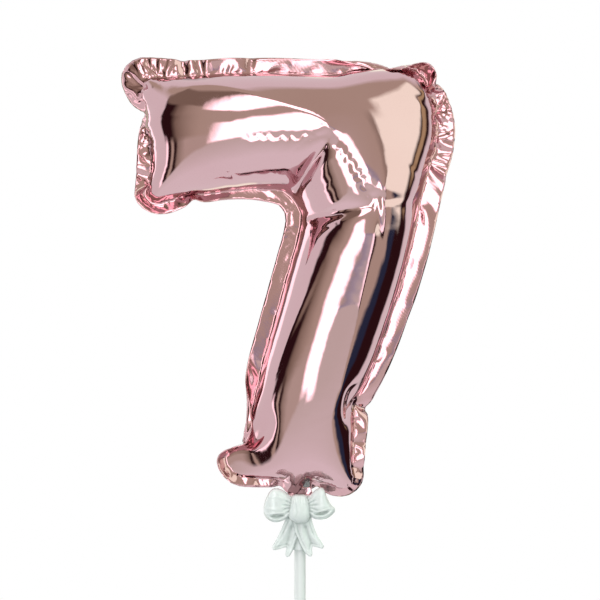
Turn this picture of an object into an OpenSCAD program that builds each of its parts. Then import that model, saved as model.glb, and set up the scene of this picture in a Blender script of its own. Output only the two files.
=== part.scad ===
// Foil number balloon "7" on a stick, with a moulded bow that grips the balloon's tail.
// The stick stands along +Z with its lower end at the origin. The number faces -Y.

/* [Stick] */
// Length of the hollow stick
stick_length = 150; // [120:5:200]
// Outside diameter of the stick
stick_diameter = 3.5; // [3.2:0.1:3.8]
// Bore of the hollow stick
stick_bore = 2.2; // [1.6:0.1:2.4]

/* [Balloon] */
// Height of the inflated number, from its foot's margin to its top margin
number_height = 138; // [130:1:150]
// Half the depth of the inflated bar and leg
crown = 16.5; // [12:0.5:18]
// How much fuller each side is at the elbow
elbow_extra = 3; // [0:0.5:4]
// Width of the welded margin round the number
margin_width = 5.5; // [3.5:0.5:6]
// Width of the welded margin under the foot
foot_margin = 2.4; // [2:0.2:3]
// Thickness of one foil panel
film = 0.25; // [0.2:0.05:0.5]

/* [Tail and valve] */
// Width of the flat tail that the bow grips
tail_width = 8; // [6:0.5:9]
// Width of the two films of the flat valve
valve_width = 6; // [4:0.5:6]
// Reach of the valve films into the balloon
valve_reach = 34; // [24:1:40]

/* [Bow] */
// Depth to which the stick enters the bow
socket_depth = 12; // [9:0.5:13]
// Depth of the slot that grips the tail
slot_depth = 4.6; // [4:0.2:5]
// Wall round the socket
socket_wall = 1.1; // [0.9:0.05:1.3]
// Thickness of the bow's two ribbon ends
ribbon_thickness = 1.5; // [1.2:0.1:1.8]

/* [Hidden] */
$fn = 64;

foil_rose = [0.80, 0.58, 0.58];
foil_tan = [0.72, 0.54, 0.50];
bow_white = [0.93, 0.96, 0.96];
clear_film = [0.85, 0.88, 0.90];

running_fit = 0.05;
stick_r = stick_diameter / 2;
// The stick is drawn down inside the bow, from just below the socket's mouth.
spigot_r = stick_r - 0.2;
spigot_length = socket_depth + 0.1;
socket_r = spigot_r + running_fit;
floor_thickness = 0.4;
slot_floor_z = stick_length + floor_thickness;
slot_top_z = slot_floor_z + slot_depth;
// The tail folds on this line, just above the slot.
fold_z = slot_top_z + 0.6;

// Outline of the inflated number at its weld, as stations along the stroke, measured from the tail's
// fold for a number 138 mm high. Each station has a point on the lower left edge and one on the
// upper right edge, and the first is the end of the bar, the last the end of the foot.
nominal_height = 138;
left_edge = [
    [-44.5, 93.1], [-37, 92.6], [-28, 92.8], [-19, 94.3], [-11, 95.3], [-5, 94], [-0.8, 90.5], [1.2, 83.7],
    [0.6, 75.7], [-2.6, 64.7], [-8.4, 52.2], [-13, 41.2], [-15.6, 29.7], [-17.8, 20], [-20.6, 13], [-21.5, 8.2]
];
right_edge = [
    [-45.6, 129.9], [-38, 130.5], [-28, 131.3], [-16, 131.3], [-2, 130.9], [12, 130.7], [26, 130.1],
    [38.6, 126.2], [42.2, 111.7], [40, 98.7], [36.3, 82], [32.6, 65.7], [28.6, 49], [23.4, 32], [19.2, 18.7],
    [16.6, 6.7]
];
end_radius = 4;
elbow_station = 7;
elbow_spread = 4;
rows_per_station = 3;
rows = (len(left_edge) - 1) * rows_per_station;
columns = 20;
// Rows over which the body swells from each welded end, and the fullness of its cross-section.
end_rows = 9;
fullness = 0.62;
// Half height and half width of the channel that the valve takes through the bottom weld.
channel_rise = 0.75;
channel_half = 4.2;
channel_fade = 2.2;

function mix(a, b, t) = a + (b - a) * t;
function clamp(v, lo, hi) = max(lo, min(hi, v));
function unit2(v) = v / norm(v);
function turned(v) = [v[1], -v[0]];

// Catmull-Rom curve through the points of a list, at position u counted in points.
function along(list, u) =
    let (
        last = len(list) - 1,
        i = clamp(floor(u), 0, last - 1),
        t = u - i,
        p1 = list[i],
        p2 = list[i + 1],
        p0 = i > 0 ? list[i - 1] : 2 * p1 - p2,
        p3 = i < last - 1 ? list[i + 2] : 2 * p2 - p1
    )
    0.5 * (2 * p1 + (p2 - p0) * t + (2 * p0 - 5 * p1 + 4 * p2 - p3) * t * t
        + (3 * p1 - p0 - 3 * p2 + p3) * t * t * t);

// How far the end of the stroke rounds outwards at a distance d from its corner.
function end_bulge(d) = end_radius * sqrt(1 - pow(1 - clamp(d / end_radius, 0, 1), 2));

// A point of the body's plan, at row i along the stroke and column j across it, drawn in from the
// weld by inset.
function plan_point(i, j, inset = 0) =
    let (
        u = i / rows_per_station,
        a = along(left_edge, u),
        b = along(right_edge, u),
        t = (1 - cos(180 * j / columns)) / 2,
        way = i == 0 ? -1 : i == rows ? 1 : 0,
        d = min(t, 1 - t) * norm(b - a),
        across = unit2(b - a)
    )
    (mix(a, b, t) + way * end_bulge(d) * turned(across)) * number_height / nominal_height
        + inset * ((1 - 2 * t) * across - way * turned(across));

function swell(i) =
    let (s = clamp(min(i, rows - i) / end_rows, 0, 1))
    sqrt(1 - pow(1 - s, 2));

// Half the depth at row i: the elbow is the fullest part.
function crown_at(i) =
    let (s = clamp(abs(i / rows_per_station - elbow_station) / elbow_spread, 0, 1))
    (crown + elbow_extra * (1 + cos(180 * s)) / 2) * swell(i);

function channel(x) = channel_rise * clamp((channel_half + channel_fade - abs(x)) / channel_fade, 0, 1);

// Height of the body above the plane of the weld.
function body_height(i, j) =
    let (
        t = (1 - cos(180 * j / columns)) / 2,
        dome = crown_at(i) * pow(max(4 * t * (1 - t), 0), fullness),
        x = plan_point(i, j)[0]
    )
    i > rows - end_rows ? max(dome, channel(x)) : dome;

// The grid's edge as one loop of [row, column] pairs: down the left edge, along the foot, up the
// right edge and back along the end of the bar.
edge_loop = concat(
    [for (i = [0 : rows - 1]) [i, 0]],
    [for (j = [0 : columns - 1]) [rows, j]],
    [for (i = [rows : -1 : 1]) [i, columns]],
    [for (j = [columns : -1 : 1]) [0, j]]
);
loop_size = len(edge_loop);

function loop_plan(k) = plan_point(edge_loop[k][0], edge_loop[k][1]);

// The margin narrows towards the foot.
function margin_at(i) = mix(margin_width, foot_margin, clamp((i - rows) / rows_per_station + 1, 0, 1));

// The outer edge of the margin, outside the k-th point of the loop.
function margin_plan(k) =
    let (
        before = loop_plan((k + loop_size - 1) % loop_size),
        after = loop_plan((k + 1) % loop_size),
        out = -turned(unit2(after - before))
    )
    loop_plan(k) - margin_at(edge_loop[k][0]) * out;

// The channel runs on through the margin below the foot.
function margin_height(k) =
    edge_loop[k][0] == rows ? channel(margin_plan(k)[0]) : 0;

grid_size = (rows + 1) * (columns + 1);
sheet_size = grid_size + loop_size;

// One sheet of points: the body's grid and then the margin's outer edge. The sheet is raised off the
// weld's plane, and its grid is drawn in by inset.
function sheet_points(raise, inset) = concat(
    [for (i = [0 : rows], j = [0 : columns])
        let (p = plan_point(i, j, inset)) [p[0], -body_height(i, j) - raise, p[1]]],
    [for (k = [0 : loop_size - 1])
        let (p = margin_plan(k)) [p[0], -margin_height(k) - raise, p[1]]]
);

function grid_index(i, j) = i * (columns + 1) + j;
function loop_index(k) = let (e = edge_loop[k % loop_size]) grid_index(e[0], e[1]);
function margin_index(k) = grid_size + k % loop_size;
function two_triangles(a, b, c, d) = [[a, b, c], [a, c, d]];
function flat(lists) = [for (l = lists, x = l) x];

sheet_faces = flat(concat(
    [for (i = [0 : rows - 1], j = [0 : columns - 1])
        two_triangles(grid_index(i, j), grid_index(i + 1, j), grid_index(i + 1, j + 1), grid_index(i, j + 1))],
    [for (k = [0 : loop_size - 1])
        two_triangles(loop_index(k), margin_index(k), margin_index(k + 1), loop_index(k + 1))]
));
rim_faces = flat([for (k = [0 : loop_size - 1])
    two_triangles(margin_index(k), margin_index(k) + sheet_size, margin_index(k + 1) + sheet_size,
        margin_index(k + 1))]);

function reversed(face) = [face[2], face[1], face[0]];
function shifted(face, by) = [for (v = face) v + by];

// One foil panel: a swollen skin with its half of the welded margin.
module panel() {
    polyhedron(
        points = concat(sheet_points(film, 0), sheet_points(0, film)),
        faces = concat(
            sheet_faces,
            [for (f = sheet_faces) reversed(shifted(f, sheet_size))],
            rim_faces
        ),
        convexity = 8
    );
}

module front_film() {
    color(foil_rose) translate([0, 0, fold_z]) panel();
}

module back_film() {
    color(foil_tan) translate([0, 0, fold_z]) mirror([0, 1, 0]) panel();
}

// One film of the flat valve, which runs from the fold up into the balloon and flares a little.
module valve_film() {
    valve_thickness = 0.2;
    mouth = valve_width * 0.6;
    foot = valve_width / 2;
    translate([0, 0, fold_z]) rotate([90, 0, 0]) linear_extrude(valve_thickness)
        polygon([[-foot, 1.2], [foot, 1.2], [mouth, valve_reach], [-mouth, valve_reach]]);
}

module valve_front_film() {
    color(clear_film) valve_film();
}

module valve_back_film() {
    color(clear_film) mirror([0, 1, 0]) valve_film();
}

// One layer of the flat tail, from just above the slot's floor to the fold.
module tail_layer() {
    clear_of_floor = 0.05;
    translate([-tail_width / 2, -film, slot_floor_z + clear_of_floor])
        cube([tail_width, film, fold_z - slot_floor_z - clear_of_floor]);
}

module front_tail() {
    color(foil_rose) tail_layer();
}

module back_tail() {
    color(foil_tan) mirror([0, 1, 0]) tail_layer();
}

// A hollow tube whose upper end is a little thinner where the bow turns on it.
module stick() {
    tip_gap = 0.05;
    color(bow_white) difference() {
        union() {
            cylinder(r = stick_r, h = stick_length - spigot_length);
            translate([0, 0, stick_length - spigot_length])
                cylinder(r = spigot_r, h = spigot_length - tip_gap);
        }
        translate([0, 0, -1]) cylinder(d = stick_bore, h = stick_length + 2);
    }
}

// One puffed loop of ribbon, on the side that "side" says: 1 for +X and -1 for -X. The mouth of the
// loop is a hollow in its lower front.
module bow_loop(side) {
    root = [side * 2.6, -4.2, slot_floor_z];
    tip = [side * 8, -4.5, slot_floor_z];
    mouth = [side * 6.3, -7.2, slot_floor_z - 2.6];
    difference() {
        hull($fn = 28) {
            translate(root + [0, 0, 3.8]) sphere(r = 1.7);
            translate(root + [0, 0, -0.2]) sphere(r = 1.7);
            translate(tip + [0, 0, 4.6]) sphere(r = 2.6);
            translate(tip + [0, 0, -0.4]) sphere(r = 2.9);
        }
        hull($fn = 20) {
            translate(mouth + [side * 1.6, 0, 0.2]) sphere(r = 1.5);
            translate(mouth - [side * 1.6, 0, 0]) sphere(r = 1.2);
        }
    }
}

module bow_knot() {
    hull($fn = 32) {
        translate([0, -4.6, slot_floor_z + 2.1]) sphere(r = 2.9);
        translate([0.3, -4.4, slot_floor_z - 0.1]) sphere(r = 3.1);
    }
}

// The outlines of the two ribbon ends, with their notched tips, measured from the slot's floor.
left_end = [
    [-4.2, -0.7], [-4.5, -2.6], [-8.7, -11.7], [-7.6, -12.4], [-4.3, -11.2], [-3.9, -14.5], [-2.6, -13],
    [-1.2, -9.1], [0.5, -4.5], [0.8, -0.7]
];
right_end = [
    [-2.2, -0.9], [-2.2, -3.1], [-1.4, -6.7], [0.2, -10.5], [2, -13.5], [3.4, -14.2], [3.9, -10.9],
    [7.1, -11.7], [7.4, -10.9], [5.5, -8.1], [3.7, -3.1], [3.4, -0.9]
];

// One ribbon end, hanging from under the knot with its back face at y = back.
module bow_ribbon_end(outline, back) {
    translate([0, back, slot_floor_z]) rotate([90, 0, 0]) linear_extrude(ribbon_thickness)
        polygon(outline);
}

// The solid behind the knot, before the socket and the slot are cut in it.
module grip_block() {
    socket_bottom = stick_length - socket_depth;
    outer_r = socket_r + socket_wall;
    half_width = tail_width / 2 + 1.2;
    front = 2.7;
    back = 1.9;
    below_floor = 2;
    translate([0, 0, socket_bottom]) cylinder(r = outer_r, h = socket_depth + 0.1);
    translate([-half_width, -front, slot_floor_z - below_floor])
        cube([2 * half_width, front + back, slot_depth + below_floor]);
}

// The bow is one moulding: loops, knot, ribbon ends, the socket for the stick and the tail's slot.
module bow() {
    slot = [tail_width + 0.4, 2 * film + 0.3, slot_depth + 1];
    color(bow_white) difference() {
        union() {
            bow_loop(-1);
            bow_loop(1);
            bow_knot();
            bow_ribbon_end(left_end, -1.5);
            bow_ribbon_end(right_end, -2.4);
            grip_block();
        }
        translate([0, 0, stick_length - socket_depth - 1]) cylinder(r = socket_r, h = socket_depth + 1);
        translate([-slot[0] / 2, -slot[1] / 2, slot_floor_z]) cube(slot);
    }
}

stick();
bow();
front_tail();
back_tail();
valve_front_film();
valve_back_film();
front_film();
back_film();
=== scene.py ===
"""A foil number balloon on a stick with a moulded bow. The foil is inflated from a flat pattern."""
import math
import bmesh
import bpy
import numpy as np
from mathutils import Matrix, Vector
from mathutils.geometry import delaunay_2d_cdt


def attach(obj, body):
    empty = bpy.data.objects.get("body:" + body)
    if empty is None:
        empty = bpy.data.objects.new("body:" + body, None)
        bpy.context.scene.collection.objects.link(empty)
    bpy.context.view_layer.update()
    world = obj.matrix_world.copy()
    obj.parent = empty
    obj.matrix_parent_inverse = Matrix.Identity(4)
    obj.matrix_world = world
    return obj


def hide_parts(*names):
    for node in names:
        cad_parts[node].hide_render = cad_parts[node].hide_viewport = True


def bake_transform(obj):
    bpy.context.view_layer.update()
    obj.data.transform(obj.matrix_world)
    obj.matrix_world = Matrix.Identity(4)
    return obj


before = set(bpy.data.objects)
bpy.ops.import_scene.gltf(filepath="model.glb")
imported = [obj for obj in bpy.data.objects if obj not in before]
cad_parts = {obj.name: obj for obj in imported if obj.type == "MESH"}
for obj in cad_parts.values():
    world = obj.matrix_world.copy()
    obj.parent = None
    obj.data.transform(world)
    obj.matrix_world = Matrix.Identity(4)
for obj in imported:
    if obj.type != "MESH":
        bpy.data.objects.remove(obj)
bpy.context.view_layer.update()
MM = 0.001

# ==== Camera and studio
# Width and middle of the picture in the plane of the object, and the lens in millimetres.
VIEW_WIDTH = 0.1875
VIEW_CENTRE = (0.0, 0.0, 0.2159)
LENS = 105.0
SENSOR = 36.0


def link(obj):
    bpy.context.scene.collection.objects.link(obj)
    return obj


def make_camera():
    data = bpy.data.cameras.new("camera")
    data.lens = LENS
    data.sensor_width = SENSOR
    data.clip_start = 0.01
    cam = link(bpy.data.objects.new("camera", data))
    away = VIEW_WIDTH * LENS / SENSOR
    cam.location = (VIEW_CENTRE[0], -away, VIEW_CENTRE[2])
    cam.rotation_euler = (math.radians(90), 0, 0)
    bpy.context.scene.camera = cam


class Nodes:
    """Short way to write a node tree."""

    def __init__(self, tree):
        self.tree = tree
        tree.nodes.clear()

    def add(self, kind, inputs=None, **props):
        node = self.tree.nodes.new(kind)
        for key, value in props.items():
            setattr(node, key, value)
        for key, value in (inputs or {}).items():
            self.put(node, key, value)
        return node

    def put(self, node, key, value):
        socket = node.inputs[key]
        if isinstance(value, bpy.types.NodeSocket):
            self.tree.links.new(value, socket)
        else:
            socket.default_value = value

    def math(self, operation, a, b=0.0, c=None):
        inputs = {0: a, 1: b}
        if c is not None:
            inputs[2] = c
        return self.add("ShaderNodeMath", inputs, operation=operation).outputs[0]

    def ramp(self, value, stops, mode="LINEAR"):
        node = self.add("ShaderNodeValToRGB", {"Fac": value})
        node.color_ramp.interpolation = mode
        elements = node.color_ramp.elements
        while len(elements) > 1:
            elements.remove(elements[-1])
        for k, (position, colour) in enumerate(stops):
            element = elements[0] if k == 0 else elements.new(position)
            element.position = position
            element.color = (*colour, 1.0)
        return node.outputs["Color"]

    def mix(self, factor, a, b):
        """One colour into another."""
        inputs = {"Factor": factor, 6: a, 7: b}
        return self.add("ShaderNodeMix", inputs, data_type="RGBA").outputs[2]

    def blend(self, factor, a, b):
        """One shader node into another."""
        return self.add("ShaderNodeMixShader", {0: factor, 1: a.outputs[0], 2: b.outputs[0]})

    def finish(self, shader, kind="ShaderNodeOutputMaterial"):
        self.add(kind, {"Surface": shader.outputs[0]})

    def map_range(self, value, low, high, start=0.0, stop=1.0, **props):
        inputs = {0: value, 1: low, 2: high, 3: start, 4: stop}
        return self.add("ShaderNodeMapRange", inputs, **props).outputs[0]

    def noise(self, where, scale, detail, more=None):
        inputs = {"Vector": where, "Scale": scale, "Detail": detail, **(more or {})}
        return self.add("ShaderNodeTexNoise", inputs).outputs["Fac"]


# Colours of the studio, as the foil mirrors them.
WHITE = (1.04, 1.16, 1.12)
BEIGE = (0.64, 0.66, 0.50)
DIM = (0.40, 0.40, 0.30)
DARK = (0.035, 0.012, 0.014)
NAVY = (0.03, 0.05, 0.10)
MAUVE = (0.40, 0.50, 0.68)
CREAM = (1.50, 1.90, 1.50)
TAN = (0.70, 0.74, 0.60)
BROWN = (0.30, 0.28, 0.20)
ORANGE = (0.62, 0.58, 0.30)
SOFTBOX = (3.6, 3.6, 3.6)
STRIP = (2.2, 2.2, 2.2)
# The node trees hold the colours divided by this, and the background's strength multiplies it back.
BRIGHTEST = 4.0

# Panels in the studio: azimuth from and to, rise from and to. The low ones stand before the table.
PANELS = [((-80, -24, 34, 66), BROWN), ((42, 98, -12, 64), CREAM), ((-30, 6, 28, 58), SOFTBOX)]
LOW_PANELS = [((-13, 3, -24, 0), SOFTBOX), ((-24, 2, -20, 16), SOFTBOX)]
# The light table reaches highest to the right of the camera: azimuth, width, top, far edge. Its
# colour goes from the near one to the far one between two rises.
TABLE = (12.0, 60.0, -6.0, -48.0)
TABLE_NEAR = (1.10, 1.26, 1.22)
TABLE_FAR = (0.84, 0.96, 0.84)
TABLE_RISE = (-60, -20)
# Rises between which the low walls turn into the high ones, and the high ones into the ceiling.
HORIZON = (-8, -3)
CEILING = (38, 52)
# Azimuths, either way, between which the walls turn into those behind the object.
BEHIND = (118, 121)
# The light on matt surfaces: where it comes from, its strength, and its grey by how far a
# direction is turned to it.
KEY = (-0.30, -0.50, 0.81)
FILL = 1.18
FILL_GREYS = [
    (0.0, (0.20, 0.22, 0.22)), (0.4, (0.38, 0.40, 0.40)), (0.7, (0.64, 0.66, 0.66)),
    (0.9, (1.0, 1.0, 1.0)), (1.0, (1.0, 1.0, 1.0)),
]
# Colours of the studio by azimuth, in degrees from the camera's side, positive to the right: below
# the camera's height, above it, and all the way up behind the object.
STUDIO_LOW = [
    (-180, WHITE), (-77, WHITE), (-75, STRIP), (-71, STRIP), (-70, DARK), (-64, DARK), (-62, BEIGE),
    (-59, BEIGE), (-57, DARK), (-54, DARK), (-51, DIM), (-40, TAN), (-24, TAN), (-14, BEIGE),
    (-9, SOFTBOX), (1, SOFTBOX), (4, MAUVE), (24, MAUVE), (32, STRIP), (40, STRIP), (43, DARK),
    (47, DARK), (50, BEIGE), (68, BEIGE), (74, NAVY), (84, NAVY), (88, DARK), (114, DARK),
    (119, WHITE), (180, WHITE),
]
STUDIO_HIGH = [
    (-180, WHITE), (-80, WHITE), (-76, DARK), (-60, DARK), (-52, BROWN), (-30, BEIGE), (0, TAN),
    (30, BEIGE), (37, DIM), (39, CREAM), (92, CREAM), (95, DARK), (98, DARK), (101, ORANGE),
    (108, ORANGE), (111, DARK), (114, DARK), (119, WHITE), (180, WHITE),
]
STUDIO_BEHIND = [
    (-180, WHITE), (-172, WHITE), (-169, DARK), (-164, DARK), (-160, BEIGE), (-138, TAN),
    (-134, NAVY), (-131, STRIP), (-122, STRIP), (-118, WHITE), (136, WHITE), (139, DARK),
    (147, DARK), (150, BEIGE), (166, DIM), (170, CREAM), (178, CREAM), (180, WHITE),
]


def make_world():
    bpy.context.scene.view_settings.view_transform = "Standard"
    world = bpy.data.worlds.new("studio")
    bpy.context.scene.world = world
    world.use_nodes = True
    n = Nodes(world.node_tree)
    direction = n.add("ShaderNodeTexCoord").outputs["Generated"]
    x, y, z = n.add("ShaderNodeSeparateXYZ", {0: direction}).outputs
    azimuth = n.math("DEGREES", n.math("ARCTAN2", x, n.math("MULTIPLY", y, -1.0)))
    rise = n.math("DEGREES", n.math("ARCSINE", z))
    turn = n.math("MULTIPLY_ADD", azimuth, 1 / 360, 0.5)

    def dimmed(colour):
        return tuple(c / BRIGHTEST for c in colour)

    def around(stops):
        return n.ramp(turn, [((a + 180) / 360, dimmed(colour)) for a, colour in stops])

    def mix(factor, a, b):
        a, b = (v if isinstance(v, bpy.types.NodeSocket) else (*dimmed(v), 1) for v in (a, b))
        return n.mix(factor, a, b)

    def panel(low, high, bottom, top):
        across = n.math("MULTIPLY", n.map_range(azimuth, low, low + 6),
                        n.map_range(azimuth, high, high - 6))
        up = n.math("MULTIPLY", n.map_range(rise, bottom, bottom + 4),
                    n.map_range(rise, top, top - 5))
        return n.math("MULTIPLY", across, up)

    walls = mix(n.map_range(rise, *HORIZON), around(STUDIO_LOW), around(STUDIO_HIGH))
    behind = n.map_range(n.math("ABSOLUTE", azimuth), *BEHIND)
    walls = mix(behind, walls, around(STUDIO_BEHIND))
    # The ceiling is beige towards the camera and light behind the object.
    ceiling = mix(n.map_range(y, 0.05, 0.2), BEIGE, WHITE)
    walls = mix(n.map_range(rise, *CEILING), walls, ceiling)
    for edges, colour in PANELS:
        walls = mix(panel(*edges), walls, colour)
    centre, width, top, bottom = TABLE
    away = n.math("DIVIDE", n.math("SUBTRACT", azimuth, centre), width)
    bulge = n.math("EXPONENT", n.math("MULTIPLY", n.math("MULTIPLY", away, away), -1.0))
    edge = n.math("MULTIPLY_ADD", bulge, top - bottom, bottom)
    table = n.map_range(n.math("SUBTRACT", edge, rise), 0, 5)
    scene = mix(table, walls, mix(n.map_range(rise, *TABLE_RISE), TABLE_NEAR, TABLE_FAR))
    for edges, colour in LOW_PANELS:
        scene = mix(panel(*edges), scene, colour)
    studio = n.add("ShaderNodeBackground", {"Color": scene, "Strength": BRIGHTEST})
    facing = n.math("MULTIPLY", z, KEY[2])
    facing = n.math("MULTIPLY_ADD", x, KEY[0], n.math("MULTIPLY_ADD", y, KEY[1], facing))
    soft = n.ramp(n.math("MULTIPLY_ADD", facing, 0.5, 0.5), FILL_GREYS)
    fill = n.add("ShaderNodeBackground", {"Color": soft, "Strength": FILL})
    plain = n.add("ShaderNodeBackground", {"Color": (1, 1, 1, 1), "Strength": 1.0})
    path = n.add("ShaderNodeLightPath").outputs
    lit = n.blend(path["Is Diffuse Ray"], studio, fill)
    n.finish(n.blend(path["Is Camera Ray"], lit, plain), "ShaderNodeOutputWorld")


FLOOR_HALF, FLOOR_Z = 0.7, -0.0005
# Distances from the stick between which the floor fades to white.
FLOOR_FADE = (0.15, 0.5)


def make_floor():
    mesh = bpy.data.meshes.new("floor")
    corners = [(-1, -1), (1, -1), (1, 1), (-1, 1)]
    verts = [(x * FLOOR_HALF, y * FLOOR_HALF, FLOOR_Z) for x, y in corners]
    mesh.from_pydata(verts, [], [(0, 1, 2, 3)])
    floor = link(bpy.data.objects.new("floor", mesh))
    mat, n = material("floor")
    pale = n.add("ShaderNodeBsdfPrincipled",
                 {"Base Color": (0.88, 0.88, 0.88, 1), "Roughness": 0.7})
    white = n.add("ShaderNodeEmission", {"Color": (1, 1, 1, 1), "Strength": 1.0})
    where = n.add("ShaderNodeTexCoord").outputs["Object"]
    reach = n.add("ShaderNodeVectorMath", {0: where}, operation="LENGTH").outputs["Value"]
    fade = n.map_range(reach, *FLOOR_FADE, interpolation_type="SMOOTHSTEP")
    n.finish(n.blend(fade, pale, white))
    mesh.materials.append(mat)
    floor.visible_glossy = False
    floor.visible_diffuse = False


# ==== Materials
def material(name):
    mat = bpy.data.materials.new(name)
    mat.use_nodes = True
    return mat, Nodes(mat.node_tree)


def scaled(colour, factors):
    return (*(c * f for c, f in zip(colour, factors)), 1)


def foil_material(name, tint):
    """Metallised film: a mirror with a faint haze, a fine crinkle and a stamped seal."""
    mat, n = material(name)
    where = n.add("ShaderNodeTexCoord").outputs["Object"]
    cloud = n.noise(where, 45.0, 3.0)
    fine = n.noise(where, 700.0, 4.0, {"Roughness": 0.6})
    seal = n.add("ShaderNodeAttribute", attribute_name="seal").outputs["Fac"]
    base = n.mix(cloud, (*tint, 1), scaled(tint, (0.95, 0.90, 0.90)))
    worn = n.mix(n.math("MULTIPLY", seal, 0.35), base, scaled(tint, (0.95, 0.62, 0.62)))
    haze = n.math("MULTIPLY_ADD", seal, 0.08, n.map_range(fine, 0.3, 0.7, 0.035, 0.075))
    crinkle = n.noise(where, 260.0, 3.0, {"Distortion": 0.4})
    grid = n.add("ShaderNodeTexWave", {"Vector": where, "Scale": 520.0, "Distortion": 0.6},
                 bands_direction="DIAGONAL").outputs["Fac"]
    height = n.math("ADD", n.math("MULTIPLY", crinkle, n.math("MULTIPLY_ADD", seal, 0.9, 0.10)),
                    n.math("MULTIPLY", grid, n.math("MULTIPLY", seal, 0.05)))
    bump = n.add("ShaderNodeBump", {"Strength": 0.35, "Distance": 0.0002, "Height": height})
    bsdf = n.add("ShaderNodeBsdfPrincipled", {"Base Color": worn, "Metallic": 1.0,
                                              "Roughness": haze, "Normal": bump.outputs[0]})
    n.finish(bsdf)
    return mat


def plastic_material(name, colour, dark, scale=400.0, stretch=(1, 1, 1), roughness=0.22):
    """Glossy moulded plastic with a faint unevenness, and shade painted darker into its hollows."""
    mat, n = material(name)
    where = n.add("ShaderNodeTexCoord").outputs["Object"]
    mapped = n.add("ShaderNodeMapping", {"Vector": where, "Scale": stretch}).outputs[0]
    grain = n.noise(mapped, scale, 4.0)
    blot = n.noise(mapped, scale * 0.2, 2.0)
    tint = n.mix(n.math("MULTIPLY", blot, 0.5), (*colour, 1), (*dark, 1))
    # Painted shade: the colour turns darker where the mesh's "hollow" mark finds a crevice,
    # standing in for the shade that falls there.
    hollow = n.add("ShaderNodeAttribute", attribute_name="hollow").outputs["Fac"]
    shaded_tint = n.mix(n.math("MULTIPLY", hollow, 0.5), tint, scaled(dark, (0.42, 0.46, 0.44)))
    bump = n.add("ShaderNodeBump", {"Strength": 0.15, "Distance": 0.00012, "Height": grain})
    bsdf = n.add("ShaderNodeBsdfPrincipled", {
        "Base Color": shaded_tint, "Roughness": n.map_range(grain, 0.3, 0.7, roughness, roughness + 0.1),
        "Normal": bump.outputs[0], "IOR": 1.5, "Coat Weight": 0.7, "Coat Roughness": 0.07,
        "Subsurface Weight": 0.25, "Subsurface Scale": 0.0015,
        "Subsurface Radius": (1.0, 1.0, 1.0)})
    n.finish(bsdf)
    return mat


def film_material(name):
    """Clear valve film."""
    mat, n = material(name)
    grain = n.noise(n.add("ShaderNodeTexCoord").outputs["Object"], 300.0, 3.0)
    bump = n.add("ShaderNodeBump", {"Strength": 0.2, "Distance": 0.0001, "Height": grain})
    bsdf = n.add("ShaderNodeBsdfPrincipled", {
        "Base Color": (0.86, 0.88, 0.9, 1), "Roughness": n.map_range(grain, 0.0, 1.0, 0.12, 0.25),
        "Normal": bump.outputs[0], "Transmission Weight": 0.8})
    n.finish(bsdf)
    return mat


# ==== The foil: flat pattern, two-layer mesh and inflation. All in millimetres
# Corners of the weld in the flat pattern, with their radii.
PATTERN = [
    (-52.5, 299.5, 6), (-20, 297.5, 200), (39.5, 285, 13), (48, 268, 40), (37, 213, 200),
    (21, 148.5, 6), (-24, 149, 6), (-19.5, 190, 60), (-11, 241, 9), (-58, 252, 6),
]
# Corners of the neck, and how many corners of the pattern come before them.
NECK = [(5.0, 147.7, 1), (3.2, 145.0, 1), (-1.8, 145.0, 1), (-3.5, 147.7, 1)]
NECK_AFTER = 6
# Places where the margin has buckled in: point on the margin and the way it goes.
PINCHES = [
    (-56, 272, 1, 0), (-38, 297, 0, -1), (33, 289, 0, -1), (-44, 250, 0, 1), (-21.5, 166, 1, 0.3),
    (29, 178, -1, 0.3),
]
# Folds that start on the front: points of the flat pattern, width, and pressure on them.
FOLDS = [
    ([(5.2, 260.8), (-14.2, 240.8)], 1.6, -1.2),
    ([(-12.5, 232.5), (24, 241), (32, 240), (42.3, 239.7)], 1.6, -1.4),
    ([(-24, 165), (-16, 163), (-10, 172)], 2.0, -2.0),
    ([(29, 178), (20, 174), (20, 182)], 2.0, -2.0),
]
# Where the margin is wider: middle, reach, extra width.
WIDER = [(-55, 292, 16, 0.9), (-60, 250, 12, -0.3), (-34, 246, 14, -2.0), (50, 240, 40, 1.6)]
# Size of the first triangles; two refinements halve it twice.
MESH_STEP = 2.6
# Share of a bend that one sweep takes out, in the panels and in the margin.
PANEL_BEND = 0.02
MARGIN_BEND = 0.8
# Share of its depth that the margin loses in a step, and the least depth of a panel.
MARGIN_PULL = 0.0008
LEAST_DEPTH = 0.02
# Pressure and damping on each of the three meshes.
PUSH = (0.06, 0.03, 0.012)
DAMPING = (0.92, 0.9, 0.9)
# Share of the pressure that is gone at the end of a run.
PUSH_FADE = 0.7
PINCH_REACH, PINCH_STEP, PINCH_DAMPING = 3.0, 0.6, 0.5
# The turn in degrees about a point, and the shift, that stand the inflated number over the bow.
TURN = -1.41
PIVOT = (0, 230)
SHIFT = (0.36, 1.06)
# Small corrections of the outline: x, z, radius, how far across and up, and 0 if the rim stays.
NUDGES = [
    (-49, 277, 9, -0.5, -3.5, 1), (-45, 243, 12, -1.0, 2.6, 1), (-25, 161, 10, 0, 3.2, 1),
    (-51, 283, 9, 3.5, -1.5, 0), (23, 290, 9, 0, 2.5, 1),
]


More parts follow.
